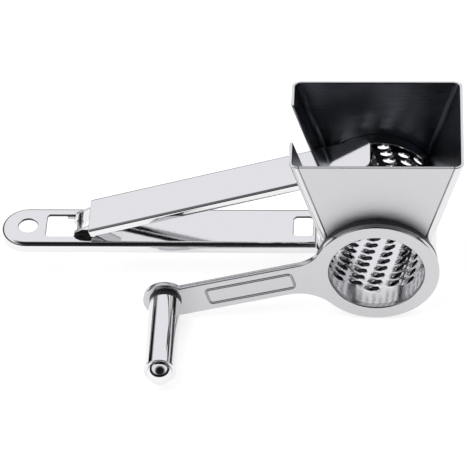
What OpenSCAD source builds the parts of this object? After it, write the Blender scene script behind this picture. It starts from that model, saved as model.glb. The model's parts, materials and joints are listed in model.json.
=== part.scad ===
// Rotary cheese grater: a hopper on a short barrel, a grating drum turned by a crank with a knob,
// a long flat handle, and a presser lever hinged on the handle that pushes the cheese on the drum.
// Origin: centre of the drum's open mouth, on the front face of the crank ring.
// +X runs from the handle to the barrel, +Y from the crank into the barrel, +Z up. Millimetres.

/* [Barrel] */
// Outer radius of the fixed barrel that the drum turns in
barrel_r = 27.5; // [24:0.5:31]
// Sheet thickness of the barrel
barrel_wall = 0.9; // [0.6:0.1:1.2]
// Length of the barrel, which is the depth of the hopper too
barrel_len = 59.2; // [48:0.2:72]
// Width of the opening between the hopper and the drum
throat_w = 42; // [34:1:44]
// Width of the barrel's closed band at each end of that opening
throat_band = 7.4; // [6.5:0.1:10]

/* [Drum] */
// Sheet thickness of the drum
drum_wall = 0.8; // [0.6:0.1:1.2]
// Room kept outside the drum for its raised teeth
tooth_h = 0.9; // [0.5:0.1:1.2]
// Clear space between the teeth and the barrel
tooth_gap = 0.7; // [0.5:0.1:1.2]
// Length of a grating hole round the drum
hole_len = 5.4; // [4:0.1:6.4]
// Width of a grating hole along the drum
hole_w = 2.6; // [2:0.1:3.4]
// Spacing of the holes along the drum
hole_pitch = 4.45; // [4.2:0.05:6]
// Number of slanting lines of holes round the drum
hole_columns = 17; // [11:1:17]
// Number of rows by which the lines have stepped back after one turn
hole_climb = 8; // [0:1:9]
// Share of the lines' spacing that each hole sits aside from the one in front of it
hole_lean = 0.15; // [0:0.01:0.3]
// Turn of the whole pattern of holes round the drum, in degrees
hole_start = -6; // [-10:1:10]
// Width of the plain band in front of the holes
drum_plain = 6.4; // [5:0.1:12]
// Width of the rim behind the drum
drum_rim_w = 4; // [3:0.5:6]

/* [Front bearing] */
// Thickness of the bearing flange seen between the crank ring and the hopper
flange_t = 2.8; // [1.5:0.1:4]
// Length of the bearing sleeve inside the barrel
sleeve_len = 6; // [4:0.5:6]
// Radial running clearance of everything that turns
running_gap = 0.08; // [0.03:0.01:0.1]
// Clearance between flat faces that turn against each other
face_gap = 0.2; // [0.1:0.05:0.4]

/* [Crank] */
// How far the crank ring stands out past the barrel
ring_over = 1; // [0.4:0.1:3]
// How far the crank ring reaches in past the drum
mouth_step = 2.4; // [0.5:0.1:4]
// Thickness of the crank plate
crank_t = 3; // [2:0.1:4]
// Distance of the knob from the drum axis along X
knob_x = 96.8; // [80:1:120]
// Distance of the knob below the drum axis
knob_drop = 18.6; // [10:0.1:22]
// Radius of the boss under the knob
boss_r = 10.3; // [8.5:0.1:12]
// Width of the crank arm
arm_w = 16.4; // [12:0.2:20]
// Slope of the crank arm
arm_slope = 15.1; // [12:0.1:17]
// Height of the arm's centre line above the drum axis where it would cross X = 0
arm_offset = 5.4; // [3:0.1:8]
// Radius of the fillet above the arm at the ring
fillet_top = 16; // [8:1:24]
// Radius of the fillet below the arm at the ring
fillet_low = 20; // [8:1:28]
// Length of the grooved panel on the arm
panel_len = 41.5; // [25:0.5:45]
// Width of the grooved panel on the arm
panel_w = 9.4; // [6:0.2:11]
// Distance of the panel's centre from the drum axis along X
panel_x = 57.6; // [54:0.2:62]
// Width and depth of the groove round that panel
groove = 0.8; // [0.4:0.1:1.2]

/* [Knob] */
// Radius of the knob's grip
grip_r = 7.4; // [6:0.1:9]
// Length of the knob's grip
grip_len = 42.8; // [30:0.2:60]
// Bore of the grip
grip_bore_r = 4.8; // [4.2:0.1:5.4]
// Radius of the axle that the grip turns on
axle_r = 3; // [2:0.1:3.6]
// Radius of the axle's domed head
dome_r = 5.8; // [5:0.1:6]
// Thickness of the washer between crank and grip
washer_t = 1.6; // [0.8:0.1:2.5]
// Length of each bush in the grip
bush_len = 9; // [5:0.5:12]

/* [Hopper] */
// Width of the hopper across its top
hopper_w = 77.8; // [68:0.2:90]
// Height of the hopper's rim above the drum axis
hopper_z = 58.8; // [52:0.2:72]
// Lean of the hopper's side walls
hopper_lean = 16.5; // [14:0.5:18]
// Sheet thickness of the hopper
hopper_wall = 1.5; // [0.8:0.1:1.8]
// Outside radius of the hopper's corner bends
hopper_bend = 3.9; // [2.2:0.1:4.6]
// Flat lip of the shell beyond each front bend, up to the front panel
hopper_lip = 0.3; // [0.2:0.1:1.5]
// Clear space on each side of the lever in its slot
slot_gap = 1.3; // [0.8:0.1:2.5]
// Height of the slot's floor above the drum axis
slot_z = 24; // [21:0.5:28]

/* [Handle] */
// Distance from the drum axis to the centre of the handle's round end
handle_reach = 162.2; // [155:0.2:185]
// Width of the handle
handle_w = 25.2; // [23:0.2:30]
// Depth of the handle's side flanges
handle_h = 5.5; // [4.5:0.1:8]
// Sheet thickness of the handle
handle_wall = 1.2; // [0.8:0.1:1.5]
// Outside radius of the handle's edge bends
handle_bend = 2.4; // [1.8:0.1:3]
// Distance of the handle's top below the drum axis
handle_drop = 4.4; // [0:0.1:6]
// Radius of the hanging hole
hang_r = 4.5; // [3:0.1:6]
// Distance from the window's hand end to the hinge pin
window_back = 15; // [12:0.5:15]
// Distance from the hinge pin to the window's barrel end
window_front = 8.5; // [8:0.5:12]
// Clear space on each side of the fork in its window
window_gap = 0.4; // [0.4:0.1:1.2]
// Length of the small window beside the barrel
vent_len = 9; // [6:0.5:14]
// Width of the small window beside the barrel
vent_w = 13; // [8:0.5:16]
// Thickness of the saddle that joins the handle to the barrel
saddle_t = 1; // [0.8:0.1:2]

/* [Lever] */
// Slope of the lever at rest
lever_slope = 16.9; // [15:0.1:18]
// Distance from the hinge pin to the lever's hand end, along the lever
lever_start = 8; // [7.6:0.1:10]
// Distance from the drum axis to the tip of the lever
lever_tip_x = 3; // [0:0.1:8]
// Width of the lever
lever_w = 22; // [18:0.2:22.4]
// Height of the lever's top above the hinge pin, square to the lever
lever_rise = 8; // [7.2:0.1:8.4]
// Depth of the lever's skirt
lever_skirt = 4.2; // [3:0.1:5]
// Sheet thickness of the lever
lever_wall = 1.2; // [0.8:0.1:1.5]
// Outside radius of the lever's edge bends
lever_bend = 1.8; // [1.6:0.1:2.6]
// Radius of the lever's corners at its tip
lever_corner = 6; // [3:0.5:9]

/* [Hinge] */
// Distance from the middle of the hanging hole to the hinge
hinge_inset = 23.7; // [20:0.1:28]
// Depth of the hinge pin below the handle's top
hinge_drop = 3; // [2.6:0.1:3.6]
// Radius of the hinge pin
pin_r = 1.3; // [1.2:0.1:1.7]
// Width across the fork's ears
fork_w = 13.6; // [10:0.2:13.6]
// Sheet thickness of the fork and of the lugs
fork_wall = 1.2; // [0.8:0.1:1.5]
// Radius of the ears and lugs round the pin
ear_r = 3; // [2.6:0.1:3.6]
// Thickness of the thin washer beside each ear
hinge_washer_t = 0.3; // [0.2:0.05:0.4]

/* [Presser] */
// Length of the presser shoe across the drum, along X
shoe_len = 19; // [12:0.5:20]
// Width of the presser shoe along the drum
shoe_w = 20; // [14:0.5:22]
// Thickness of the presser shoe
shoe_t = 1.4; // [1:0.1:2.5]
// Clear space between the shoe and the drum's teeth
shoe_gap = 1.1; // [0.8:0.1:2]

/* [Hidden] */
$fn = 96;

// Cuts run this far past the faces that they open
past = 1;

// Places along the drum axis
bearing_y = crank_t + face_gap;
barrel_y0 = bearing_y + flange_t + face_gap;
barrel_y1 = barrel_y0 + barrel_len;
mid_y = (barrel_y0 + barrel_y1) / 2;
sleeve_y1 = barrel_y0 + sleeve_len;
drum_y1 = barrel_y1 - drum_rim_w;

// Radii round the drum axis
barrel_in_r = barrel_r - barrel_wall;
tooth_r = barrel_in_r - tooth_gap;
drum_r = tooth_r - tooth_h;
drum_in_r = drum_r - drum_wall;
ring_r = barrel_r + ring_over;
mouth_r = drum_in_r - mouth_step;
flange_r = (barrel_r + ring_r) / 2;
shoe_r = tooth_r + shoe_gap;

// Rows of holes: their middles lie between these, and each hole is shifted from its neighbour, so that
// the slanting lines of holes meet again after one turn
row_y0 = sleeve_y1 + drum_plain - sleeve_len + hole_w / 2;
row_y1 = drum_y1 - 1 - hole_w / 2;
hole_shift = hole_climb * hole_pitch / hole_columns;
hole_rows = ceil((row_y1 - row_y0) / hole_pitch);
hole_turn = 360 / (hole_columns + hole_climb * hole_lean);

// Places on the handle and the lever
handle_z = -handle_drop;
hinge_z = handle_z - hinge_drop;
hinge_x = handle_reach - hinge_inset;
window_w = fork_w + 2 * window_gap;
slot_w = lever_w + 2 * slot_gap;
lug_in = fork_w / 2 + hinge_washer_t + 2 * running_gap;
lug_out = lug_in + fork_wall;
lever_end = (hinge_x - lever_tip_x + lever_rise * sin(lever_slope)) / cos(lever_slope);
lever_under = lever_rise - lever_wall;

// Direction of the crank arm, and the outward normals of its two edges
arm_along = [cos(arm_slope), sin(arm_slope)];
arm_up = [-sin(arm_slope), cos(arm_slope)];
arm_mid = arm_offset * cos(arm_slope);

function half_top() = hopper_w / 2;
// Half width of the flat front panel at height z
function panel_half(z) =
    half_top() - (hopper_bend + hopper_lip) / cos(hopper_lean) - (hopper_z - z) * tan(hopper_lean);
// Height of the centre line of the crank arm at x
function arm_z(x) = arm_offset + x * tan(arm_slope);
// Centre of a fillet of radius f that touches the ring and a line at distance d along normal n
function fillet_centre(n, d, f) =
    n * (d + f) - arm_along * sqrt(pow(ring_r + f, 2) - pow(d + f, 2));

// Extrudes an outline drawn in X and Z from y0 to y1
module along_y(y0, y1) {
    translate([0, y1, 0]) rotate([90, 0, 0]) linear_extrude(y1 - y0) children();
}

// Extrudes an outline drawn in Y and Z from x0 to x1
module along_x(x0, x1) {
    translate([x0, 0, 0]) rotate([90, 0, 90]) linear_extrude(x1 - x0) children();
}

// A plain tube on the drum axis
module tube_y(r_out, r_in, y0, y1) {
    along_y(y0, y1) difference() {
        circle(r_out);
        circle(r_in);
    }
}

// Outline with two rounded corners at its top, centred on x = 0, from y = -h to y = 0
module round_top(w, h, r) {
    translate([-w / 2, -h]) square([w, h - r]);
    translate([-w / 2 + r, -h]) square([w - 2 * r, h]);
    for (s = [-1, 1]) translate([s * (w / 2 - r), -r]) circle(r);
}

// Outline with all four corners rounded, centred on the origin
module round_rect(l, w, r) {
    square([l - 2 * r, w], center = true);
    square([l, w - 2 * r], center = true);
    for (sx = [-1, 1], sy = [-1, 1])
        translate([sx * (l / 2 - r), sy * (w / 2 - r)]) circle(r);
}

// Slot-shaped outline, long along x
module oblong(l, w) {
    square([l - w, w], center = true);
    for (s = [-1, 1]) translate([s * (l - w) / 2, 0]) circle(w / 2, $fn = 24);
}

// Puts its children in the lever's own frame: x along the lever, z square to it, pin at the origin
module at_hinge() {
    translate([-hinge_x, mid_y, hinge_z]) rotate([0, -lever_slope, 0]) children();
}

// Puts its children on the knob's axis, in the plane of the crank's front face
module at_knob() {
    translate([-knob_x, 0, -knob_drop]) children();
}

// ---- Barrel and hopper ----

module barrel() {
    color("silver") difference() {
        tube_y(barrel_r, barrel_in_r, barrel_y0, barrel_y1);
        translate([-throat_w / 2, barrel_y0 + throat_band, 0])
            cube([throat_w, barrel_len - 2 * throat_band, barrel_r + past]);
    }
}

// Outline of the hopper seen along a side wall's corner: the wall at x = 0 and both bends
module hopper_corner_outline(inset) {
    r = hopper_bend - inset;
    y0 = barrel_y0 + inset;
    y1 = barrel_y1 - inset;
    translate([-hopper_w, y0]) square([hopper_w - hopper_bend, y1 - y0]);
    translate([-hopper_bend, y0 + r]) square([r, y1 - y0 - 2 * r]);
    for (y = [y0 + r, y1 - r]) translate([-hopper_bend, y]) circle(r);
}

// One leaning side wall with its two bends and half of the front and of the back
module hopper_half() {
    long = 2 * hopper_z;
    intersection() {
        translate([half_top(), 0, hopper_z]) rotate([0, hopper_lean, 0]) translate([0, 0, -long])
            linear_extrude(long + hopper_z / 2) difference() {
                hopper_corner_outline(0);
                hopper_corner_outline(hopper_wall);
            }
        translate([0, barrel_y0 - past, 0]) cube([hopper_w, barrel_len + 2 * past, hopper_z]);
    }
}

// The flat area of the hopper's front, down to the middle of the barrel
module front_panel_outline() {
    polygon([
        [-panel_half(hopper_z), hopper_z], [panel_half(hopper_z), hopper_z],
        [panel_half(0), 0], [-panel_half(0), 0]
    ]);
}

module hopper_shell() {
    color("gainsboro") difference() {
        union() {
            hopper_half();
            mirror([1, 0, 0]) hopper_half();
        }
        along_y(barrel_y0 - past, barrel_y1 + past) circle(barrel_r);
        along_y(barrel_y0 - past, barrel_y0 + hopper_wall + past) front_panel_outline();
        translate([-hopper_w, mid_y - slot_w / 2, slot_z])
            cube([hopper_w, slot_w, hopper_z]);
    }
}

module hopper_front_panel() {
    color("lightgray") along_y(barrel_y0, barrel_y0 + hopper_wall) difference() {
        front_panel_outline();
        circle(barrel_r);
    }
}

// ---- Handle ----

// Solid form of the handle, set in by the sheet thickness for its inside
module handle_form(inset) {
    w = handle_w - 2 * inset;
    r = handle_bend - inset;
    translate([0, mid_y, handle_z - inset]) {
        along_x(-handle_reach, 0) round_top(w, handle_h, r);
        translate([-handle_reach, 0, 0]) rotate([0, 0, 90]) rotate_extrude(angle = 180)
            intersection() {
                round_top(w, handle_h, r);
                translate([0, -handle_h]) square([w, handle_h]);
            }
    }
}

module handle_shell() {
    cut_h = handle_wall + 2 * past;
    color("silver") difference() {
        handle_form(0);
        handle_form(handle_wall);
        along_y(barrel_y0, barrel_y1) circle(barrel_r + saddle_t);
        translate([-handle_reach, mid_y, handle_z - handle_wall - past]) cylinder(r = hang_r, h = cut_h);
        translate([-hinge_x + (window_front - window_back) / 2, mid_y, handle_z - handle_wall - past])
            linear_extrude(cut_h) round_rect(window_back + window_front, window_w, 1.5);
        translate([-barrel_r - saddle_t - vent_len / 2 - past, mid_y, handle_z - handle_wall - past])
            linear_extrude(cut_h) round_rect(vent_len, vent_w, 2);
    }
}

// Curved plate on the barrel that the end of the handle is welded to
module handle_saddle() {
    edge = 1.2;
    color("silver") intersection() {
        tube_y(barrel_r + saddle_t, barrel_r, mid_y - handle_w / 2 - edge, mid_y + handle_w / 2 + edge);
        translate([-barrel_r - saddle_t - past, barrel_y0, handle_z - handle_h - edge])
            cube([barrel_r, barrel_len, handle_h + edge]);
    }
}

// ---- Hinge ----

// Two lugs with feet, welded under the handle beside the window
module hinge_lugs() {
    top = hinge_drop - handle_wall;
    foot = handle_w / 2 - handle_bend - lug_in - running_gap;
    color("darkgray") translate([-hinge_x, mid_y, hinge_z]) for (s = [-1, 1]) {
        along_y_at = s > 0 ? lug_in : -lug_out;
        difference() {
            union() {
                along_y(along_y_at, along_y_at + fork_wall) union() {
                    circle(ear_r - 0.2);
                    translate([-2 * ear_r, 0]) square([4 * ear_r, top]);
                }
                translate([-2 * ear_r, s > 0 ? lug_in : -lug_in - foot, top - 1])
                    cube([4 * ear_r, foot, 1]);
            }
            translate([0, 0, top]) linear_extrude(handle_wall + past)
                square([6 * ear_r, 4 * lug_out], center = true);
            along_y(-lug_out - past, lug_out + past) circle(pin_r);
        }
    }
}

// The pin, flush with the outsides of the lugs
module hinge_pin() {
    color("dimgray") translate([-hinge_x, mid_y, hinge_z]) along_y(-lug_out, lug_out) circle(pin_r);
}

module hinge_washers() {
    y = fork_w / 2 + running_gap;
    color("dimgray") translate([-hinge_x, mid_y, hinge_z]) for (s = [0, 1]) mirror([0, s, 0])
        tube_y(ear_r - 0.4, pin_r + running_gap, y, y + hinge_washer_t);
}

// ---- Lever ----

// Solid form of the lever, set in by the sheet thickness for its inside
module lever_form(inset, x0) {
    w = lever_w - 2 * inset;
    x1 = lever_end - inset;
    corner = lever_corner - inset;
    intersection() {
        translate([0, 0, lever_rise - inset]) along_x(x0, x1) round_top(w, lever_skirt, lever_bend - inset);
        union() {
            translate([x0, -w / 2, 0]) cube([x1 - corner - x0, w, lever_rise]);
            translate([x0, -w / 2 + corner, 0]) cube([x1 - x0, w - 2 * corner, lever_rise]);
            for (s = [-1, 1]) translate([x1 - corner, s * (w / 2 - corner), 0])
                cylinder(r = corner, h = lever_rise);
        }
    }
}

module lever_plate() {
    color("silver") at_hinge() difference() {
        lever_form(0, lever_start);
        lever_form(lever_wall, lever_start - past);
    }
}

// Side view of one ear of the fork, in the lever's frame
module ear_outline() {
    difference() {
        union() {
            circle(ear_r);
            polygon([
                [-ear_r, 0], [0, lever_under - 1.6], [lever_start - 1.6, lever_under],
                [lever_start + 14, lever_under], [lever_start + 14, lever_under - 1.5], [ear_r, -1]
            ]);
        }
        circle(pin_r + running_gap);
    }
}

// U-shaped fork welded under the lever's hand end
module lever_fork() {
    color("silver") at_hinge() {
        for (y = [-fork_w / 2, fork_w / 2 - fork_wall]) along_y(y, y + fork_wall) ear_outline();
        translate([lever_start + 1, -fork_w / 2 + fork_wall, lever_under - fork_wall])
            cube([13, fork_w - 2 * fork_wall, fork_wall]);
    }
}

// ---- Presser ----

// Two webs from the lever down to the shoe, joined by a plate under the lever
module presser_bracket() {
    top_t = 1.2;
    web_out = lever_w / 2 - lever_corner;
    web_x1 = -3;
    color("darkgray") difference() {
        intersection() {
            translate([-shoe_len + 1, mid_y - web_out, 0])
                cube([shoe_len + web_x1 - 1, 2 * web_out, hopper_z]);
            at_hinge() translate([0, -web_out, lever_under - hopper_z])
                cube([lever_end - lever_wall, 2 * web_out, hopper_z]);
        }
        intersection() {
            translate([-shoe_len, mid_y - web_out + lever_wall, 0])
                cube([shoe_len, 2 * (web_out - lever_wall), hopper_z]);
            at_hinge() translate([0, -web_out, lever_under - top_t - hopper_z])
                cube([lever_end, 2 * web_out, hopper_z]);
        }
        along_y(barrel_y0, barrel_y1) circle(shoe_r + shoe_t);
    }
}

// Curved shoe that follows the drum
module presser_shoe() {
    color("darkgray") intersection() {
        tube_y(shoe_r + shoe_t, shoe_r, mid_y - shoe_w / 2, mid_y + shoe_w / 2);
        translate([-shoe_len, barrel_y0, 0]) cube([shoe_len, barrel_len, barrel_r + tooth_gap + shoe_t]);
    }
}

// ---- Drum and its bearing ----

module bearing_ring() {
    color("dimgray") {
        tube_y(flange_r, drum_r + running_gap, bearing_y, bearing_y + flange_t);
        tube_y(barrel_in_r - running_gap, drum_r + running_gap, bearing_y + flange_t, sleeve_y1);
    }
}

module drum_tube() {
    color("lightgray") difference() {
        tube_y(drum_r, drum_in_r, crank_t, drum_y1);
        for (i = [0 : hole_columns - 1], j = [-hole_climb : hole_rows])
            let (y = row_y0 + j * hole_pitch + i * hole_shift)
                if (y >= row_y0 && y <= row_y1)
                    rotate([0, hole_start + (i - hole_lean * j) * hole_turn, 0]) translate([0, y, drum_in_r - past])
                        linear_extrude(drum_wall + 2 * past) oblong(hole_len, hole_w);
    }
}

// Rim that stiffens the drum and runs in the back of the barrel
module drum_rear_rim() {
    color("silver") {
        tube_y(barrel_in_r - running_gap, drum_in_r, drum_y1, drum_y1 + drum_rim_w / 2);
        tube_y(drum_r, drum_in_r, drum_y1 + drum_rim_w / 2, barrel_y1 - face_gap);
    }
}

// ---- Crank ----

// Plate of the crank: ring, arm with two fillets that bite a hair into what they touch, and boss
module crank_plate() {
    bite = 0.01;
    low = -arm_up;
    c_top = fillet_centre(arm_up, arm_w / 2 + arm_mid, fillet_top);
    c_low = fillet_centre(low, arm_w / 2 - arm_mid, fillet_low);
    half = arm_w / 2 / cos(arm_slope);
    difference() {
        union() {
            along_y(0, crank_t) circle(ring_r);
            along_y(0, crank_t) translate([-knob_x, -knob_drop]) circle(boss_r);
            along_y(0, crank_t) polygon([
                [-knob_x, arm_z(-knob_x) + half], c_top - arm_up * fillet_top, c_top, [0, 0],
                c_low, c_low - low * fillet_low, [-knob_x, arm_z(-knob_x) - half]
            ]);
        }
        along_y(-past, crank_t + past) translate(c_top) circle(fillet_top + bite);
        along_y(-past, crank_t + past) translate(c_low) circle(fillet_low + bite);
        along_y(-past, crank_t + past) circle(mouth_r);
        along_y(-past, crank_t + past) translate([-knob_x, -knob_drop]) circle(axle_r);
    }
}

module crank_arm() {
    color("silver") difference() {
        crank_plate();
        along_y(-past, groove) translate([-panel_x, arm_z(-panel_x)]) rotate(arm_slope) difference() {
            round_rect(panel_len, panel_w, 2.2);
            round_rect(panel_len - 2 * groove, panel_w - 2 * groove, 1.4);
        }
    }
}

// ---- Knob ----

module knob_axle() {
    tip_y = -washer_t - grip_len - 2 * face_gap;
    color("silver") at_knob() {
        along_y(tip_y, crank_t) circle(axle_r);
        along_y(crank_t, crank_t + 1) circle(axle_r + 1.6);
        intersection() {
            translate([0, tip_y, 0]) sphere(dome_r);
            translate([-dome_r, tip_y - dome_r, -dome_r]) cube([2 * dome_r, dome_r, 2 * dome_r]);
        }
    }
}

module axle_washer() {
    color("dimgray") at_knob() tube_y(grip_r, axle_r, -washer_t, 0);
}

// The grip stands clear of the washer and of the axle's head
module knob_grip() {
    y1 = -washer_t - face_gap;
    color("silver") at_knob() tube_y(grip_r, grip_bore_r, y1 - grip_len, y1);
}

module knob_bush_inner() {
    y1 = -washer_t - face_gap;
    color("dimgray") at_knob() tube_y(grip_bore_r, axle_r + running_gap, y1 - bush_len, y1);
}

module knob_bush_outer() {
    y0 = -washer_t - face_gap - grip_len;
    color("dimgray") at_knob() tube_y(grip_bore_r, axle_r + running_gap, y0, y0 + bush_len);
}

barrel();
hopper_shell();
hopper_front_panel();
handle_shell();
handle_saddle();
hinge_lugs();
hinge_pin();
hinge_washers();
lever_plate();
lever_fork();
presser_bracket();
presser_shoe();
bearing_ring();
drum_tube();
drum_rear_rim();
crank_arm();
knob_axle();
axle_washer();
knob_grip();
knob_bush_inner();
knob_bush_outer();
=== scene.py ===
# %% [markdown]
# # A rotary cheese grater in polished steel
# The grater is sheet steel almost all over: a hopper on a short barrel, a drum with raised teeth,
# a long flat handle, a lever that presses the cheese down, and a crank with a turning knob.
# Such an object is won or lost on two things: the small round edges that catch the light, and what the
# mirror-like faces reflect. The sizes come from the frame, so this script only adds edges, teeth and
# finish.

import json
from math import cos, floor, hypot, pi, radians, sin

import bpy
from mathutils import Matrix, Vector


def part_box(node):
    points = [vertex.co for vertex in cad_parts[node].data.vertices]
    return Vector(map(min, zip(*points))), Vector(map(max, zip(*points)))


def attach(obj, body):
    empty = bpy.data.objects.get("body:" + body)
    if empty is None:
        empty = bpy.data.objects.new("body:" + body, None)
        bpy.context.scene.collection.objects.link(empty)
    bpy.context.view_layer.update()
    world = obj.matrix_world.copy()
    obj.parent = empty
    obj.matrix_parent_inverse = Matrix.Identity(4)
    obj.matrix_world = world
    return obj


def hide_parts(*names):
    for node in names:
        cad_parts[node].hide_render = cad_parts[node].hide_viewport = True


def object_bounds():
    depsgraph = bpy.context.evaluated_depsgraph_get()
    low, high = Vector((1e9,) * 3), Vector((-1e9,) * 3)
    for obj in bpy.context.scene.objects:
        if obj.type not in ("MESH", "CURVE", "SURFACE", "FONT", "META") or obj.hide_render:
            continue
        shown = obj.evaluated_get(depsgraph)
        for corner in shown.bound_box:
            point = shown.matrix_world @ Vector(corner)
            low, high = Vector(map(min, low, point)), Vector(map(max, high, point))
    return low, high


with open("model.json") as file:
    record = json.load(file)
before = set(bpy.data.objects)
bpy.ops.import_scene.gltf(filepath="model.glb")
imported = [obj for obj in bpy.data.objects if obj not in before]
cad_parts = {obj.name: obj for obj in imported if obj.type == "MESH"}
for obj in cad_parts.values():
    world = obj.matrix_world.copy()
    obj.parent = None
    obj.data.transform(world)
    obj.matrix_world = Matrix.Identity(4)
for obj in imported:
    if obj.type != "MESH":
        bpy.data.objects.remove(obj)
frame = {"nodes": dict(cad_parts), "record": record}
cad_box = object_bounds()
body_of_node = {n: body for body, nodes in frame["record"]["behaviour"]["bodies"].items() for n in nodes}
slot_of_node = {part["node"]: part["material_slot"] for part in frame["record"]["subparts"]}
MM = 0.001
print("frame:", len(frame["nodes"]), "nodes; box", [round(v / MM, 1) for corner in cad_box for v in corner])

# %% [markdown]
# ## Camera
# The grater is seen from the front and well above, through a long lens that keeps its lines nearly
# parallel. The camera is placed by an angle and a distance from a point in the middle of the object,
# because a person with a tripod would say it that way, and then rolled a little.

# %% Camera
LOOK_AT = Vector((-65.5, 20.0, 5.8)) * MM
CAMERA_DISTANCE = 1.4
CAMERA_TURN, CAMERA_HEIGHT, CAMERA_ROLL = radians(4.2), radians(43.4), radians(-2.7)
toward_camera = Vector((sin(CAMERA_TURN) * cos(CAMERA_HEIGHT),
                        -cos(CAMERA_TURN) * cos(CAMERA_HEIGHT),
                        sin(CAMERA_HEIGHT)))
LENS_LENGTH, SENSOR_WIDTH = 235.8, 36.0
camera_data = bpy.data.cameras.new("camera")
camera_data.lens = LENS_LENGTH
camera_data.sensor_width = SENSOR_WIDTH
camera = bpy.data.objects.new("camera", camera_data)
bpy.context.collection.objects.link(camera)
aim = toward_camera.to_track_quat("Z", "Y").to_matrix() @ Matrix.Rotation(CAMERA_ROLL, 3, "Z")
camera.matrix_world = Matrix.Translation(LOOK_AT + toward_camera * CAMERA_DISTANCE) @ aim.to_4x4()
bpy.context.scene.camera = camera
print("camera at", [round(v, 3) for v in camera.location])

# %% [markdown]
# ## Light
# Polished steel shows the room, not itself. A bright studio and a pale floor make the flat faces light.
# One dark patch high above the front, and one dark belt all round just above the floor, draw the black
# lines along every bend. Both are part of the world, so reflections find them from all sides. Two soft
# lamps, which the steel doesn't reflect, only lift the floor and the dark plastic.

# %% Studio world with a dark patch and a dark belt
PATCH_TOWARD = Vector((0.10, -0.50, 0.86)).normalized()
PATCH_SHADES = ((0.60, 0.96), (0.74, 0.30), (0.86, 0.012))
BELT_SHADES = ((0.0, 0.10), (0.03, 0.012), (0.33, 0.012), (0.46, 1.0))
COOLNESS = 1.02


def shade_steps(nodes, steps):
    """A ramp through pairs of place and grey, each grey a trace bluer than neutral."""
    ramp = nodes.new("ShaderNodeValToRGB")
    ramp.color_ramp.elements.remove(ramp.color_ramp.elements[1])
    for i, (position, shade) in enumerate(steps):
        step = ramp.color_ramp.elements[0] if i == 0 else ramp.color_ramp.elements.new(position)
        step.position = position
        step.color = (shade, shade, shade * COOLNESS, 1)
    return ramp


def studio_world():
    world = bpy.data.worlds.new("studio")
    world.use_nodes = True
    bpy.context.scene.world = world
    nodes, links = world.node_tree.nodes, world.node_tree.links
    coords = nodes.new("ShaderNodeTexCoord")
    toward_patch = nodes.new("ShaderNodeVectorMath")
    toward_patch.operation = "DOT_PRODUCT"
    toward_patch.inputs[1].default_value = PATCH_TOWARD
    patch = shade_steps(nodes, PATCH_SHADES)
    belt = shade_steps(nodes, BELT_SHADES)
    height = nodes.new("ShaderNodeSeparateXYZ")
    both = nodes.new("ShaderNodeVectorMath")
    both.operation = "MULTIPLY"
    links.new(coords.outputs["Generated"], toward_patch.inputs[0])
    links.new(coords.outputs["Generated"], height.inputs[0])
    links.new(toward_patch.outputs["Value"], patch.inputs["Fac"])
    links.new(height.outputs["Z"], belt.inputs["Fac"])
    links.new(patch.outputs["Color"], both.inputs[0])
    links.new(belt.outputs["Color"], both.inputs[1])
    links.new(both.outputs["Vector"], nodes["Background"].inputs["Color"])


studio_world()
bpy.context.scene.view_settings.view_transform = "Standard"
print("world ready")

# %% Soft lamps
LAMP_WIDTH = 0.9


def soft_lamp(name, place, watts):
    data = bpy.data.lights.new(name, "AREA")
    data.shape = "DISK"
    data.size = LAMP_WIDTH
    data.energy = watts
    lamp = bpy.data.objects.new(name, data)
    bpy.context.collection.objects.link(lamp)
    lamp.location = place
    lamp.rotation_euler = (Vector(place) - LOOK_AT).to_track_quat("Z", "Y").to_euler()
    lamp.visible_glossy = False


soft_lamp("key_lamp", (-0.5, -0.3, 1.1), 13)
soft_lamp("fill_lamp", (0.6, 0.5, 1.0), 7)
print("lamps ready")

# %% [markdown]
# ## Floor
# A plain floor at the height of the lowest rim, lit from within like a light table so that shadows stay
# faint. It is only stage, and it is large enough for the steel to find it in every downward reflection.

# %% Floor
FLOOR_GAP = 0.2 * MM
FLOOR_RADIUS = 3.0
FLOOR_Z = cad_box[0].z - FLOOR_GAP
bpy.ops.mesh.primitive_circle_add(vertices=64, radius=FLOOR_RADIUS, fill_type="NGON",
                                  location=(0, 0, FLOOR_Z))
floor_piece = bpy.context.object
floor_piece.name = "stage_floor"
pale = bpy.data.materials.new("pale_floor")
pale.use_nodes = True
pale_inputs = pale.node_tree.nodes["Principled BSDF"].inputs
pale_inputs["Base Color"].default_value = (0.25, 0.25, 0.25, 1)
pale_inputs["Emission Color"].default_value = (1, 1, 1, 1)
pale_inputs["Emission Strength"].default_value = 0.82
pale_inputs["Roughness"].default_value = 0.9
pale_inputs["Specular IOR Level"].default_value = 0.1
floor_piece.data.materials.append(pale)
print("floor at", round(FLOOR_Z / MM, 2), "mm")

# %% [markdown]
# ## Shared effects
# Two effects come back in almost every finish. Brushed grain is a noise drawn out along one axis, and
# handling marks are broad soft clouds where fingers and cloths have dulled the polish. Each is a node
# group with named sockets, so a finish only says how strong and how fine it wants them.

# %% Node group helper
def effect_group(name, inputs, outputs):
    group = bpy.data.node_groups.new(name, "ShaderNodeTree")
    for label, kind, value in inputs:
        socket = group.interface.new_socket(label, in_out="INPUT", socket_type=kind)
        if value is not None:
            socket.default_value = value
    for label, kind in outputs:
        group.interface.new_socket(label, in_out="OUTPUT", socket_type=kind)
    return group, group.nodes.new("NodeGroupInput"), group.nodes.new("NodeGroupOutput")


def chain_math(group, operation, a, b):
    node = group.nodes.new("ShaderNodeMath")
    node.operation = operation
    for socket, value in zip(node.inputs, (a, b)):
        if isinstance(value, (int, float)):
            socket.default_value = value
        else:
            group.links.new(value, socket)
    return node.outputs[0]


print("helpers ready")

# %% Brushed grain
GRAIN_DETAIL = 3.0


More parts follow.
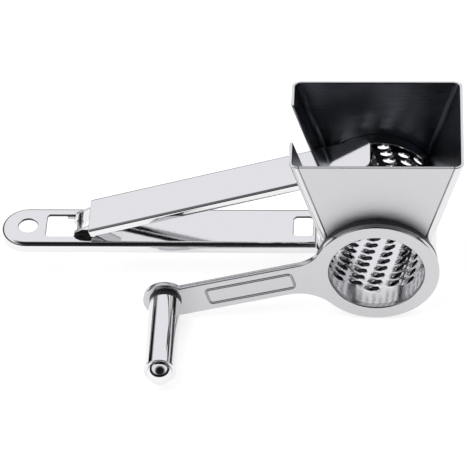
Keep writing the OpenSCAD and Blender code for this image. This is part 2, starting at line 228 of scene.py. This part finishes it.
def make_grain_group():
    group, given, made = effect_group(
        "brushed_grain",
        [("Vector", "NodeSocketVector", None), ("Stretch", "NodeSocketVector", (1, 1, 1)),
         ("Depth", "NodeSocketFloat", 0.1), ("Base Roughness", "NodeSocketFloat", 0.2)],
        [("Roughness", "NodeSocketFloat"), ("Height", "NodeSocketFloat")])
    drawn_out = group.nodes.new("ShaderNodeVectorMath")
    drawn_out.operation = "MULTIPLY"
    noise = group.nodes.new("ShaderNodeTexNoise")
    noise.inputs["Scale"].default_value = 1.0
    noise.inputs["Detail"].default_value = GRAIN_DETAIL
    group.links.new(given.outputs["Vector"], drawn_out.inputs[0])
    group.links.new(given.outputs["Stretch"], drawn_out.inputs[1])
    group.links.new(drawn_out.outputs[0], noise.inputs["Vector"])
    around_zero = chain_math(group, "SUBTRACT", noise.outputs["Fac"], 0.5)
    scaled = chain_math(group, "MULTIPLY", around_zero, given.outputs["Depth"])
    group.links.new(chain_math(group, "ADD", scaled, given.outputs["Base Roughness"]),
                    made.inputs["Roughness"])
    group.links.new(noise.outputs["Fac"], made.inputs["Height"])
    return group


grain_group = make_grain_group()
print("group", grain_group.name)

# %% Handling marks
CLOUD_SCALE, CLOUD_DETAIL, CLOUD_FLOOR = 28.0, 4.0, 0.45


def make_marks_group():
    group, given, made = effect_group(
        "handling_marks",
        [("Vector", "NodeSocketVector", None), ("Roughness In", "NodeSocketFloat", 0.1),
         ("Amount", "NodeSocketFloat", 0.05)],
        [("Roughness", "NodeSocketFloat")])
    clouds = group.nodes.new("ShaderNodeTexNoise")
    clouds.inputs["Scale"].default_value = CLOUD_SCALE
    clouds.inputs["Detail"].default_value = CLOUD_DETAIL
    group.links.new(given.outputs["Vector"], clouds.inputs["Vector"])
    above = chain_math(group, "SUBTRACT", clouds.outputs["Fac"], CLOUD_FLOOR)
    only_marks = chain_math(group, "MAXIMUM", above, 0.0)
    scaled = chain_math(group, "MULTIPLY", only_marks, given.outputs["Amount"])
    group.links.new(chain_math(group, "ADD", scaled, given.outputs["Roughness In"]),
                    made.inputs["Roughness"])
    return group


marks_group = make_marks_group()
print("group", marks_group.name)

# %% [markdown]
# ## Steel finishes
# One function makes every steel: its tint, how rough it is, which way its grain runs and how deep.
# Mirror polish keeps a trace of grain, or it looks like a computer's chrome; satin has grain that can be
# seen. The front panel is blasted nearly matte. The insides of the hopper and of the barrel are left
# unpolished and brushed along their width, and their dark tint is painted shade, where shade falls inside.

# %% Steel
ALONG_X = (60, 2600, 2600)
GRAIN_HEIGHT = 0.02 * MM


def steel(name, tint, roughness, grain_depth, bump, marks):
    material = bpy.data.materials.new(name)
    material.use_nodes = True
    nodes, links = material.node_tree.nodes, material.node_tree.links
    shader = nodes["Principled BSDF"]
    shader.inputs["Metallic"].default_value = 1.0
    shader.inputs["Base Color"].default_value = (*tint, 1)
    coords = nodes.new("ShaderNodeTexCoord")
    grain = nodes.new("ShaderNodeGroup")
    grain.node_tree = grain_group
    grain.inputs["Stretch"].default_value = ALONG_X
    grain.inputs["Depth"].default_value = grain_depth
    grain.inputs["Base Roughness"].default_value = roughness
    smudge = nodes.new("ShaderNodeGroup")
    smudge.node_tree = marks_group
    smudge.inputs["Amount"].default_value = marks
    relief = nodes.new("ShaderNodeBump")
    relief.inputs["Strength"].default_value = bump
    relief.inputs["Distance"].default_value = GRAIN_HEIGHT
    links.new(coords.outputs["Object"], grain.inputs["Vector"])
    links.new(coords.outputs["Object"], smudge.inputs["Vector"])
    links.new(grain.outputs["Roughness"], smudge.inputs["Roughness In"])
    links.new(smudge.outputs["Roughness"], shader.inputs["Roughness"])
    links.new(grain.outputs["Height"], relief.inputs["Height"])
    links.new(relief.outputs["Normal"], shader.inputs["Normal"])
    return material


# Each row: tint, roughness, depth of the grain in roughness, strength of the grain as bump, handling marks
STEELS = {
    "polished_steel": ((0.78, 0.78, 0.79), 0.055, 0.03, 0.10, 0.10),
    "satin_steel": ((0.57, 0.57, 0.585), 0.15, 0.08, 0.15, 0.08),
    "hopper_steel": ((0.72, 0.72, 0.73), 0.16, 0.08, 0.2, 0.08),
    "grating_steel": ((0.78, 0.78, 0.79), 0.12, 0.06, 0.2, 0.10),
    "hinge_steel": ((0.55, 0.55, 0.56), 0.22, 0.10, 0.3, 0.15),
}
finishes = {name: steel(name, *row) for name, row in STEELS.items()}
matte_panel = steel("matte_panel", (0.71, 0.71, 0.73), 0.55, 0.08, 0.3, 0.05)
# Painted shade: a dark tint for the shade inside the hopper; its roughness and grain are real
hopper_painted_shade = steel("hopper_painted_shade", (0.20, 0.21, 0.24), 0.30, 0.25, 1.0, 0.15)
# Painted shade: near-black steel for the shade in the barrel, the handle's cut-outs and the panel's sides
painted_shade_steel = steel("painted_shade_steel", (0.07, 0.07, 0.08), 0.45, 0.10, 0.3, 0.10)
print("steels:", ", ".join(finishes))

# %% [markdown]
# ## Dark plastic
# The bearing, the bushes and the washer are turned from dark acetal. It has a faint sheen and fine turning
# lines, so it gets a low, slightly uneven roughness and no metal.

# %% Plastic
TURNING_LINES = (300, 3000, 300)


def acetal():
    material = bpy.data.materials.new("dark_plastic")
    material.use_nodes = True
    nodes, links = material.node_tree.nodes, material.node_tree.links
    shader = nodes["Principled BSDF"]
    shader.inputs["Base Color"].default_value = (0.018, 0.018, 0.020, 1)
    shader.inputs["IOR"].default_value = 1.48
    coords = nodes.new("ShaderNodeTexCoord")
    grain = nodes.new("ShaderNodeGroup")
    grain.node_tree = grain_group
    grain.inputs["Stretch"].default_value = TURNING_LINES
    grain.inputs["Depth"].default_value = 0.12
    grain.inputs["Base Roughness"].default_value = 0.38
    links.new(coords.outputs["Object"], grain.inputs["Vector"])
    links.new(grain.outputs["Roughness"], shader.inputs["Roughness"])
    return material


finishes["dark_plastic"] = acetal()
print("finishes:", len(finishes))

# %% [markdown]
# ## Rounded edges
# The design's solids have knife edges. Real sheet is tumbled or polished, so every edge has a small
# radius, and that radius is what draws the bright and dark lines round each piece. A copy of the node is
# merged, its flat faces are dissolved back to whole ones, and a Bevel modifier rounds what is sharp. Where
# short edges meet, a bevel can overshoot, so every point is kept inside its node's own box.

# %% Select one piece, and give it its finish, body and node
def only(piece):
    bpy.ops.object.select_all(action="DESELECT")
    piece.select_set(True)
    bpy.context.view_layer.objects.active = piece


def settle(piece, node):
    piece.data.materials.clear()
    piece.data.materials.append(finishes[slot_of_node[node]])
    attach(piece, body_of_node[node])
    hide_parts(node)


print("slots:", ", ".join(sorted(set(slot_of_node.values()))))

# %% Copy a node and round its edges
WELD = 0.002 * MM
STILL_FLAT = radians(0.5)
SHARP_FROM = radians(40)
SMOOTH_UNDER = radians(32)
ROUNDING_STEPS = 3


def rounded_copy(node, radius):
    piece = frame["nodes"][node].copy()
    piece.data = piece.data.copy()
    piece.name = node + "_finished"
    bpy.context.collection.objects.link(piece)
    piece.parent = None
    piece.matrix_world = Matrix.Identity(4)
    only(piece)
    bpy.ops.object.mode_set(mode="EDIT")
    bpy.ops.mesh.select_all(action="SELECT")
    bpy.ops.mesh.remove_doubles(threshold=WELD)
    bpy.ops.mesh.dissolve_limited(angle_limit=STILL_FLAT)
    bpy.ops.object.mode_set(mode="OBJECT")
    bevel = piece.modifiers.new("edges", "BEVEL")
    bevel.width = radius * MM
    bevel.segments = ROUNDING_STEPS
    bevel.limit_method = "ANGLE"
    bevel.angle_limit = SHARP_FROM
    bevel.use_clamp_overlap = False
    bpy.ops.object.modifier_apply(modifier="edges")
    low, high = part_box(node)
    for vertex in piece.data.vertices:
        vertex.co = Vector(min(max(v, a), b) for v, a, b in zip(vertex.co, low, high))
    bpy.ops.object.shade_smooth_by_angle(angle=SMOOTH_UNDER)
    even = piece.modifiers.new("flat_faces_stay_flat", "WEIGHTED_NORMAL")
    even.keep_sharp = True
    bpy.ops.object.modifier_apply(modifier="flat_faces_stay_flat")
    settle(piece, node)
    print(piece.name, len(piece.data.polygons), "faces")
    return piece


# Rounding radius of each node's edges in millimetres
EDGE_RADIUS = {
    "barrel": 0.25, "hopper_shell": 0.5, "hopper_front_panel": 0.35, "handle_shell": 0.5,
    "handle_saddle": 0.3, "hinge_lugs": 0.2, "hinge_pin": 0.3, "hinge_washers": 0.08,
    "lever_plate": 0.4, "lever_fork": 0.3, "presser_bracket": 0.3, "presser_shoe": 0.4,
    "bearing_ring": 0.3, "drum_rear_rim": 0.2, "crank_arm": 0.6, "knob_axle": 0.2,
    "axle_washer": 0.3, "knob_grip": 0.5, "knob_bush_inner": 0.2, "knob_bush_outer": 0.2,
}
rounded = {node: rounded_copy(node, radius) for node, radius in EDGE_RADIUS.items()}

# %% [markdown]
# ## Faces with painted shade
# The insides of the hopper and of the barrel are darkened as painted shade, and so are the cut edges in
# the handle's sheet and down both sides of the front panel, drawing painted dark outlines there. Each is
# chosen by where a face lies and which way it looks, because a copy has no named faces.

# %% Second finish for some faces of a piece
# Limits on a face's normal, of length 1, for it to look inward, look sideways or stand upright
INWARD = 0.25
SIDEWAYS, NOT_FRONT = 0.5, 0.85
UPRIGHT = 0.5
# The handle's cut-outs lie in the middle of its top sheet
CUT_DEPTH, CUTOUT_HALF_WIDTH = 1.25 * MM, 7.4 * MM


def finish_faces(piece, finish, chosen):
    piece.data.materials.append(finish)
    index = len(piece.data.materials) - 1
    faces = [face for face in piece.data.polygons if chosen(face.center, face.normal)]
    for face in faces:
        face.material_index = index
    print(piece.name, len(faces), "faces in", finish.name)


HOPPER_MIDDLE = sum(corner.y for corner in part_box("hopper_shell")) / 2
HANDLE_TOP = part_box("handle_shell")[1].z


def faces_hopper_middle(place, normal):
    return normal.dot(Vector((-place.x, HOPPER_MIDDLE - place.y, 0)).normalized()) > INWARD


def faces_drum_axis(place, normal):
    return normal.dot(Vector((-place.x, 0, -place.z)).normalized()) > INWARD


def faces_sideways(place, normal):
    return abs(normal.x) > SIDEWAYS and abs(normal.y) < NOT_FRONT


def lines_a_cutout(place, normal):
    in_top_sheet = place.z > HANDLE_TOP - CUT_DEPTH
    in_middle = abs(place.y - HOPPER_MIDDLE) < CUTOUT_HALF_WIDTH
    return abs(normal.z) < UPRIGHT and in_top_sheet and in_middle


# Painted shade: these faces get dark steel for the shade that falls on them or the dark they reflect
finish_faces(rounded["hopper_shell"], hopper_painted_shade, faces_hopper_middle)
finish_faces(rounded["hopper_front_panel"], hopper_painted_shade, faces_hopper_middle)
finish_faces(rounded["hopper_front_panel"], painted_shade_steel, faces_sideways)
finish_faces(rounded["barrel"], painted_shade_steel, faces_drum_axis)
finish_faces(rounded["handle_shell"], painted_shade_steel, lines_a_cutout)
rounded["hopper_front_panel"].data.materials[0] = matte_panel

# %% [markdown]
# ## The grating drum
# On the real drum each tooth is pierced and pushed out of the sheet in one blow: an oval hole whose one
# end stands up as a sharp lip. One tooth is modelled on a flat tile, the tile is laid out in a slanting
# lattice that closes on itself after one turn, and the sheet is rolled up. Tiles at both ends stay blank.

# %% Sizes of the drum
drum_low, drum_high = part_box("drum_tube")
DRUM_R = drum_high.x
DRUM_Y0, DRUM_Y1 = drum_low.y, drum_high.y
SHEET = 0.8 * MM
LINES, STEPPED_BACK, LEAN = 17, 8, 0.15
PITCH = 4.45 * MM
TILE_TURN = 2 * pi / (LINES + STEPPED_BACK * LEAN)
TILE_W = DRUM_R * TILE_TURN
SLANT = STEPPED_BACK * PITCH / LINES
START_TURN = radians(-6)
# Half the length and half the width of a hole
HOLE_A, HOLE_B = 2.9 * MM, 1.42 * MM
LIP, DENT = 0.85 * MM, 0.15 * MM
# Room kept from the bearing to the middle of the first tooth, and from the last one to the drum's end
ROOM_FRONT, ROOM_BACK = 1.7 * MM, 2.3 * MM
TEETH_Y0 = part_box("bearing_ring")[1].y + ROOM_FRONT
TEETH_Y1 = DRUM_Y1 - ROOM_BACK
print("tile", round(TILE_W / MM, 2), "by", round(PITCH / MM, 2), "mm; slant", round(SLANT / MM, 2))

# %% One tile, blank or with a tooth
STEPS_U, STEPS_V = 8, 4
# How far in toward the hole each ring of points lies, and its share of the tooth's full push
RINGS = ((0.0, 0.0), (0.42, 0.05), (0.72, 0.38), (0.90, 0.80), (1.0, 1.0))
# The lip rises from a little behind the middle of the hole
LIP_START = 0.25


def tile_edge():
    """Points round the tile from its lower left corner, anticlockwise, in tile units from -0.5 to 0.5."""
    edge = [(-0.5 + i / STEPS_U, -0.5) for i in range(STEPS_U)]
    edge += [(0.5, -0.5 + i / STEPS_V) for i in range(STEPS_V)]
    edge += [(0.5 - i / STEPS_U, 0.5) for i in range(STEPS_U)]
    edge += [(-0.5, 0.5 - i / STEPS_V) for i in range(STEPS_V)]
    return edge


def leaning(u, v):
    """A tile is a leaning four-sided patch, so that the lattice closes on itself after one turn."""
    return (u - LEAN * v) * TILE_W, v * PITCH + u * SLANT


def toothed_tile():
    """Rings of points from the tile's edge in to the hole, each with how far the sheet is pushed out."""
    rings = []
    for share, push in RINGS:
        ring = []
        for u, v in tile_edge():
            x, y = leaning(u, v)
            reach = hypot(x / HOLE_A, y / HOLE_B)
            hole_x, hole_y = x / reach, y / reach
            x, y = x + (hole_x - x) * share, y + (hole_y - y) * share
            toward_lip = hole_x / HOLE_A
            lip_share = max(0.0, toward_lip + LIP_START) / (1.0 + LIP_START)
            rise = LIP * lip_share - DENT * max(0.0, -toward_lip)
            ring.append((x, y, rise * push))
        rings.append(ring)
    count = len(rings[0])
    points = [p for ring in rings for p in ring]
    faces = []
    for r in range(len(rings) - 1):
        for i in range(count):
            j = (i + 1) % count
            faces.append((r * count + i, r * count + j, (r + 1) * count + j, (r + 1) * count + i))
    return points, faces


def blank_tile():
    points = [(*leaning(i / STEPS_U - 0.5, j / STEPS_V - 0.5), 0.0)
              for j in range(STEPS_V + 1) for i in range(STEPS_U + 1)]
    row = STEPS_U + 1
    faces = [(j * row + i, j * row + i + 1, (j + 1) * row + i + 1, (j + 1) * row + i)
             for j in range(STEPS_V) for i in range(STEPS_U)]
    return points, faces


tooth_points, tooth_faces = toothed_tile()
print("toothed tile:", len(tooth_faces), "faces; blank:", len(blank_tile()[1]))

# %% Lay the lattice out and roll it up
ROW_SLACK = 0.01 * MM
# Blank rows past each end, which the cuts take off again
SPARE_ROWS = 2


def rolled_drum():
    points, faces = [], []
    for line in range(LINES):
        first = floor((DRUM_Y0 - TEETH_Y0 - line * SLANT) / PITCH) - SPARE_ROWS
        last = floor((DRUM_Y1 - TEETH_Y0 - line * SLANT) / PITCH) + SPARE_ROWS + 1
        for row in range(first, last):
            middle_y = TEETH_Y0 + row * PITCH + line * SLANT
            middle_turn = START_TURN + (line - LEAN * row) * TILE_TURN
            inside = TEETH_Y0 - ROW_SLACK <= middle_y <= TEETH_Y1
            tile_points, tile_faces = (tooth_points, tooth_faces) if inside else blank_tile()
            start = len(points)
            for x, y, rise in tile_points:
                turn = middle_turn + x / DRUM_R
                radius = DRUM_R + rise
                points.append((radius * sin(turn), middle_y + y, radius * cos(turn)))
            faces += [tuple(start + k for k in face) for face in tile_faces]
    mesh = bpy.data.meshes.new("drum_sheet")
    mesh.from_pydata(points, [], faces)
    piece = bpy.data.objects.new("grating_drum", mesh)
    bpy.context.collection.objects.link(piece)
    return piece


drum = rolled_drum()
print("lattice:", len(drum.data.polygons), "faces")

# %% Weld the tiles, cut both ends and give the sheet its thickness
TILE_WELD = 0.02 * MM
DRUM_SMOOTH_UNDER = radians(50)
only(drum)
bpy.ops.object.mode_set(mode="EDIT")
bpy.ops.mesh.select_all(action="SELECT")
bpy.ops.mesh.remove_doubles(threshold=TILE_WELD)
for cut_y, front in ((DRUM_Y0, True), (DRUM_Y1, False)):
    bpy.ops.mesh.select_all(action="SELECT")
    bpy.ops.mesh.bisect(plane_co=(0, cut_y, 0), plane_no=(0, 1, 0),
                        clear_inner=front, clear_outer=not front)
bpy.ops.mesh.select_all(action="SELECT")
bpy.ops.mesh.normals_make_consistent(inside=False)
bpy.ops.object.mode_set(mode="OBJECT")
wall = drum.modifiers.new("sheet", "SOLIDIFY")
wall.thickness = SHEET
wall.offset = -1.0
bpy.ops.object.modifier_apply(modifier="sheet")
bpy.ops.object.shade_smooth_by_angle(angle=DRUM_SMOOTH_UNDER)
settle(drum, "drum_tube")
print("drum:", len(drum.data.polygons), "faces")
